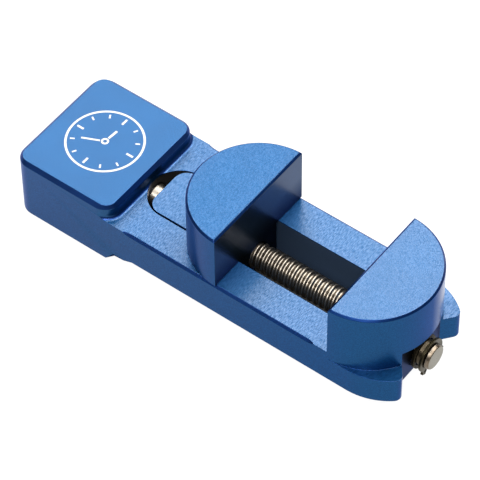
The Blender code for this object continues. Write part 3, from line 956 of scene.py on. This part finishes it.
def anodised(name, dye, haze, own_finish_and_shade):
    """Dyed and sealed aluminium: satin metal under a clear oxide, with a grain drawn out across the bar.

    The haze is the oxide's own reflection on the milled tops, and the walls have a thinner one.
    """
    made, tree, shader = new_material(name, dye, 0.36, 0.95)
    low = height_share(tree, BAR_TOP + 1.5, BAR_TOP + 0.5)
    speck = noise(tree, object_space(tree), 0.2)
    drawn = noise(tree, object_space(tree, (1.0, 0.22, 1.0)), 0.2)
    grain = mix_value(tree, low, speck, drawn)
    cloud = noise(tree, object_space(tree), 7.0)
    peaks = spread(tree, grain, 0.0, 1.0, 0.34, 0.68)
    grained = mix_colour(tree, peaks, shaded(dye, 0.78), shaded(dye, 1.26))
    # Painted shade: faces that lean at about 45 degrees get a darker, deeper blue.
    tone = mix_colour(tree, chamfer_share(tree), grained, CHAMFER_PAINTED_SHADE)
    tops = top_share(tree)
    roughness = mix_value(tree, tops, spread(tree, cloud, 0.32, 0.38), spread(tree, cloud, 0.44, 0.50))
    along = along_share(tree, HEAD_LENGTH, FIXED_FLAT)
    at_head, at_jaw, on_bar = haze
    high_haze, low_haze = between(tree, along, at_head, at_jaw), between(tree, along, on_bar, at_jaw)
    sparkle = spread(tree, grain, 0.45, 1.55, 0.36, 0.66)
    tops_coat = product(tree, mix_value(tree, low, high_haze, low_haze), sparkle)
    # The body's and the jaw's own places, with painted shade on the jaw's flat face, on the notch's back
    # wall and at the slot's round end.
    tone, walls_coat = own_finish_and_shade(tree, shader, tone, between(tree, along, 0.34, 0.17))
    tree.links.new(tone, shader.inputs["Base Color"])
    tree.links.new(roughness, shader.inputs["Roughness"])
    tree.links.new(mix_value(tree, tops, walls_coat, tops_coat), shader.inputs["Coat Weight"])
    shader.inputs["Specular Tint"].default_value = (*OXIDE_TINT, 1.0)
    shader.inputs["Coat Roughness"].default_value = 0.24
    shader.inputs["Coat IOR"].default_value = 1.5
    add_bump(tree, shader, grain, 0.010, 0.5)
    return made


def steel(name, colour, roughness, wear_and_shade=None):
    """Turned steel with fine rings round the screw's axis, and with its own wear and painted shade where
    they are given.
    """
    made, tree, shader = new_material(name, colour, roughness, 1.0)
    rings = noise(tree, object_space(tree, (1.0, 0.05, 0.05)), 0.15, detail=3.0, roughness=0.6)
    speck = noise(tree, object_space(tree), 0.3)
    tone = mix_colour(tree, spread(tree, speck, 0.0, 1.0), shaded(colour, 0.84), colour)
    if wear_and_shade:
        tone = wear_and_shade(tree, tone)
    tree.links.new(tone, shader.inputs["Base Color"])
    tree.links.new(spread(tree, rings, roughness - 0.06, roughness + 0.08), shader.inputs["Roughness"])
    add_bump(tree, shader, rings, 0.002, 0.5)
    return made


def screw_wear_and_shade(tree, tone):
    """Grease and painted shade on the thread's flanks, painted shade on the journal in the notch, and a
    darker end face.
    """
    # Grease and painted shade: the flanks are darker than the crest and the root.
    tone = mix_colour(tree, flank_grease_and_shade(tree), tone, FLANK_GREASE_AND_SHADE)
    # Painted shade on the journal, from the thread's end to just past the circlip.
    past_thread = along_share(tree, THREAD_END, THREAD_END + 0.5)
    before_end = along_share(tree, CLIP_END + 0.3, CLIP_END + 0.2)
    tone = mix_colour(tree, product(tree, past_thread, before_end), tone, JOURNAL_PAINTED_SHADE)
    return mix_colour(tree, along_share(tree, SCREW_END - 0.05, SCREW_END - 0.03), tone, END_TONE)


def flank_grease_and_shade(tree):
    """How much grease and painted shade a point of the thread gets, by how high it lies from the root to
    the crest: most on the flanks, between the crest and the root.
    """
    coordinates = add_node(tree, "ShaderNodeTexCoord")
    offset = add_node(tree, "ShaderNodeVectorMath", operation="SUBTRACT")
    offset.inputs[1].default_value = at(0, 0, AXIS_Z)
    across = add_node(tree, "ShaderNodeVectorMath", operation="MULTIPLY")
    across.inputs[1].default_value = (0.0, 1.0, 1.0)
    length = add_node(tree, "ShaderNodeVectorMath", operation="LENGTH")
    tree.links.new(coordinates.outputs["Object"], offset.inputs[0])
    tree.links.new(offset.outputs["Vector"], across.inputs[0])
    tree.links.new(across.outputs["Vector"], length.inputs[0])
    height = spread(tree, length.outputs["Value"], 0.0, 1.0, ROOT_RADIUS * MM, THREAD_RADIUS * MM)
    ramp = add_node(tree, "ShaderNodeValToRGB")
    tree.links.new(height, ramp.inputs["Fac"])
    stops = [(0.0, 0.3), (0.1, 0.5), (0.25, 1.0), (0.75, 0.9), (0.95, 0.2)]
    elements = ramp.color_ramp.elements
    for position, amount in stops[len(elements):]:
        elements.new(position)
    for element, (position, amount) in zip(elements, stops):
        element.position = position
        element.color = (amount, amount, amount, 1.0)
    on_thread = along_share(tree, THREAD_START, THREAD_START + LEAD_IN)
    return product(tree, ramp.outputs["Color"], on_thread)


def bronze(name):
    """Oiled bearing bronze, with a fine cast speckle."""
    made, tree, shader = new_material(name, BRONZE_PALE, 0.4, 1.0)
    speck = noise(tree, object_space(tree), 0.4, detail=3.0)
    tone = mix_colour(tree, spread(tree, speck, 0.0, 1.0), BRONZE_DARK, BRONZE_PALE)
    tree.links.new(tone, shader.inputs["Base Color"])
    tree.links.new(spread(tree, speck, 0.28, 0.45), shader.inputs["Roughness"])
    add_bump(tree, shader, speck, 0.008, 0.4)
    return made


def etched(name):
    """The marked spots, where the dye is burnt out of the oxide and it scatters white."""
    made, tree, shader = new_material(name, ETCHED_PALE, 0.6, 0.0)
    speck = noise(tree, object_space(tree), 0.25)
    tone = mix_colour(tree, spread(tree, speck, 0.0, 1.0), ETCHED_DARK, ETCHED_PALE)
    tree.links.new(tone, shader.inputs["Base Color"])
    add_bump(tree, shader, speck, 0.01, 0.4)
    return made


# How the pieces join the frame.


def finish(obj, made, body, slot, *nodes):
    """Gives a piece its material and its body, and hides the CAD nodes that it stands for; its slot is not
    used.
    """
    obj.data.materials.clear()
    obj.data.materials.append(made)
    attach(obj, body)
    if nodes:
        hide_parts(*nodes)


def repaint(node, made):
    """Gives a CAD node, which keeps its shape, a better material."""
    frame["nodes"][node].data.materials.clear()
    frame["nodes"][node].data.materials.append(made)


def make_dial_mark():
    """A plain dial on the head's top, as a thin mark: two rings, twelve ticks and two hands."""
    height = HEAD_TOP + MARK_LIFT
    centre = (HEAD_LENGTH / 2, 0)
    shape = bmesh.new()

    def strip(points_in, points_out, closed):
        inner = [shape.verts.new(at(x, y, height)) for x, y in points_in]
        outer = [shape.verts.new(at(x, y, height)) for x, y in points_out]
        count = len(inner) if closed else len(inner) - 1
        for i in range(count):
            j = (i + 1) % len(inner)
            shape.faces.new((inner[i], outer[i], outer[j], inner[j]))

    def ring(radius, width):
        strip(*[circle(centre, radius + side * width / 2, ARC_STEPS) for side in (-1, 1)], True)

    def stroke(angle, near, far, width):
        cos, sin = math.cos(math.radians(angle)), math.sin(math.radians(angle))
        edges = []
        for y in (-width / 2, width / 2):
            edges.append([(centre[0] + cos * r - sin * y, sin * r + cos * y) for r in (near, far)])
        strip(*edges, False)

    ring(DIAL_RADIUS, DIAL_WIDTH)
    for hour in range(12):
        start, width = SHORT_TICK if hour % 3 else LONG_TICK
        stroke(hour * 30, start, TICK_END, width)
    ring(PIVOT_RADIUS, LINE_WIDTH)
    for angle, end, width in (LONG_HAND, SHORT_HAND):
        stroke(angle, HAND_START, end, width)
    mark = place("dial_mark", finished_mesh(shape, "dial_mark"))
    if any(polygon.normal.z < 0 for polygon in mark.data.polygons):
        mark.data.flip_normals()
    return mark


# The scene around the object.


def make_floor():
    """A white sweep, lit from below like a light table so that hardly any shadow shows."""
    shape = bmesh.new()
    reach = FLOOR_REACH * MM
    corners = [(-reach, -reach), (reach, -reach), (reach, reach), (-reach, reach)]
    shape.faces.new([shape.verts.new((x, y, 0.0)) for x, y in corners])
    floor = place("floor", finished_mesh(shape, "floor"))
    made, tree, shader = new_material("floor_white", FLOOR_TONE, 0.8, 0.0)
    # Hardly any light comes from under the holder: the glow starts a little inside its outline.
    coordinates = add_node(tree, "ShaderNodeTexCoord")
    size = add_node(tree, "ShaderNodeVectorMath", operation="ABSOLUTE")
    parts = add_node(tree, "ShaderNodeSeparateXYZ")
    outside = add_node(tree, "ShaderNodeMath", operation="MAXIMUM")
    tree.links.new(coordinates.outputs["Object"], size.inputs[0])
    tree.links.new(size.outputs["Vector"], parts.inputs["Vector"])
    for i, (axis, half) in enumerate((("X", GLOW_HALF_LENGTH), ("Y", GLOW_HALF_WIDTH))):
        past = spread(tree, parts.outputs[axis], 0.0, 1.0, (half - GLOW_FADE) * MM, half * MM)
        tree.links.new(past, outside.inputs[i])
    share = outside.outputs["Value"]
    shader.inputs["Emission Color"].default_value = (1.0, 1.0, 1.0, 1.0)
    tree.links.new(between(tree, share, SHADED_GLOW, FLOOR_GLOW), shader.inputs["Emission Strength"])
    tree.links.new(mix_colour(tree, share, SHADED_FLOOR_TONE, FLOOR_TONE), shader.inputs["Base Color"])
    floor.data.materials.append(made)


def add_softbox(name, direction, size, radiance, offset=(0.0, 0.0), turn=0.0):
    """A rectangular area light facing the object, moved sideways in its own plane and turned there."""
    light = bpy.data.lights.new(name, "AREA")
    light.shape = "RECTANGLE"
    light.size, light.size_y = size
    light.energy = radiance * math.pi * size[0] * size[1]
    towards = Vector(direction).normalized()
    first = (Vector((1, 0, 0)) - towards * towards.x).normalized()
    second = towards.cross(first)
    axes = Matrix((first, second, towards)).transposed().to_4x4()
    centre = towards * SOFTBOX_DISTANCE + first * offset[0] + second * offset[1]
    spin = Matrix.Rotation(math.radians(turn), 4, "Z")
    place(name, light).matrix_world = Matrix.Translation(centre) @ axes @ spin


def make_lights():
    """A large softbox overhead with a brighter core, one in front, and a strip along the thread."""
    above = (-0.25, 0.50, 0.80)
    add_softbox("overhead", above, size=(1.6, 1.2), radiance=4.8, offset=(-0.05, 0.0))
    add_softbox("core", above, size=(0.8, 0.8), radiance=2.0, offset=(0.16, -0.17), turn=43.0)
    add_softbox("front", (0.0, -0.55, 0.77), size=(1.2, 0.4), radiance=6.1)
    add_softbox("thread", (0.30, 0.05, 0.95), size=(0.5, 2.0), radiance=5.0)


def make_world():
    """Even white light from all round."""
    world = bpy.data.worlds.new("studio")
    world.use_nodes = True
    background = world.node_tree.nodes["Background"]
    background.inputs["Color"].default_value = (1.0, 1.0, 1.0, 1.0)
    background.inputs["Strength"].default_value = ROOM_LIGHT
    bpy.context.scene.world = world


def make_camera():
    """The camera, which looks down on the near right side through a long lens."""
    azimuth, elevation = math.radians(CAMERA_AZIMUTH), math.radians(CAMERA_ELEVATION)
    roll = math.radians(CAMERA_ROLL)
    across = Vector((math.cos(azimuth), math.sin(azimuth), 0.0))
    level = math.cos(elevation)
    back = Vector((math.sin(azimuth) * level, -math.cos(azimuth) * level, math.sin(elevation)))
    upward = back.cross(across)
    right = math.cos(roll) * across + math.sin(roll) * upward
    up = math.cos(roll) * upward - math.sin(roll) * across
    turn = Matrix((right, up, back)).transposed()
    camera = bpy.data.cameras.new("camera")
    camera.sensor_width = CAMERA_SENSOR
    camera.lens = CAMERA_LENS
    camera.clip_start = 0.01
    camera.clip_end = 20.0
    obj = place("camera", camera)
    obj.matrix_world = Matrix.Translation(Vector(CAMERA_TARGET) + back * CAMERA_DISTANCE) @ turn.to_4x4()
    bpy.context.scene.camera = obj


def clear_stage():
    """Removes the lights, the camera and the cube that a new scene starts with."""
    for obj in list(bpy.data.objects):
        if obj.type in ("LIGHT", "CAMERA") or obj.name == "Cube":
            bpy.data.objects.remove(obj, do_unlink=True)


def main():
    """Makes the materials, the pieces with what each stands for, and the studio round them."""
    clear_stage()
    bpy.context.scene.view_settings.view_transform = "Standard"
    body_blue = anodised("body_anodised", BODY_DYE, BODY_HAZE, body_finish_and_shade)
    jaw_blue = anodised("jaw_anodised", JAW_DYE, JAW_HAZE, jaw_finish_and_shade)
    screw_steel = steel("screw_steel", SCREW_TONE, 0.32, screw_wear_and_shade)
    hub_steel = steel("hub_steel", HUB_TONE, 0.32)
    washer_steel = steel("washer_steel", WASHER_TONE, 0.46)
    spring_steel = steel("spring_steel", SPRING_TONE, 0.36)
    bearing_bronze = bronze("bearing_bronze")
    finish(make_body(), body_blue, "frame", "anodised_body", "body")
    finish(make_moving_jaw(), jaw_blue, "jaw", "anodised_jaw", "moving_jaw")
    finish(make_nut(), bearing_bronze, "jaw", "bronze", "jaw_nut")
    finish(make_screw(), screw_steel, "screw", "screw_steel", "lead_screw")
    finish(make_hub(), hub_steel, "screw", "hub_steel", "drive_hub")
    finish(make_circlip(), spring_steel, "screw", "spring_steel", "circlip")
    finish(make_washer(), washer_steel, "frame", "washer_steel", "front_washer")
    finish(make_dial_mark(), etched("etched_mark"), "frame", "anodised_body")
    repaint("rear_bush", bearing_bronze)
    repaint("rear_washer", washer_steel)
    repaint("hub_pin", hub_steel)
    make_floor()
    make_world()
    make_lights()
    make_camera()


main()
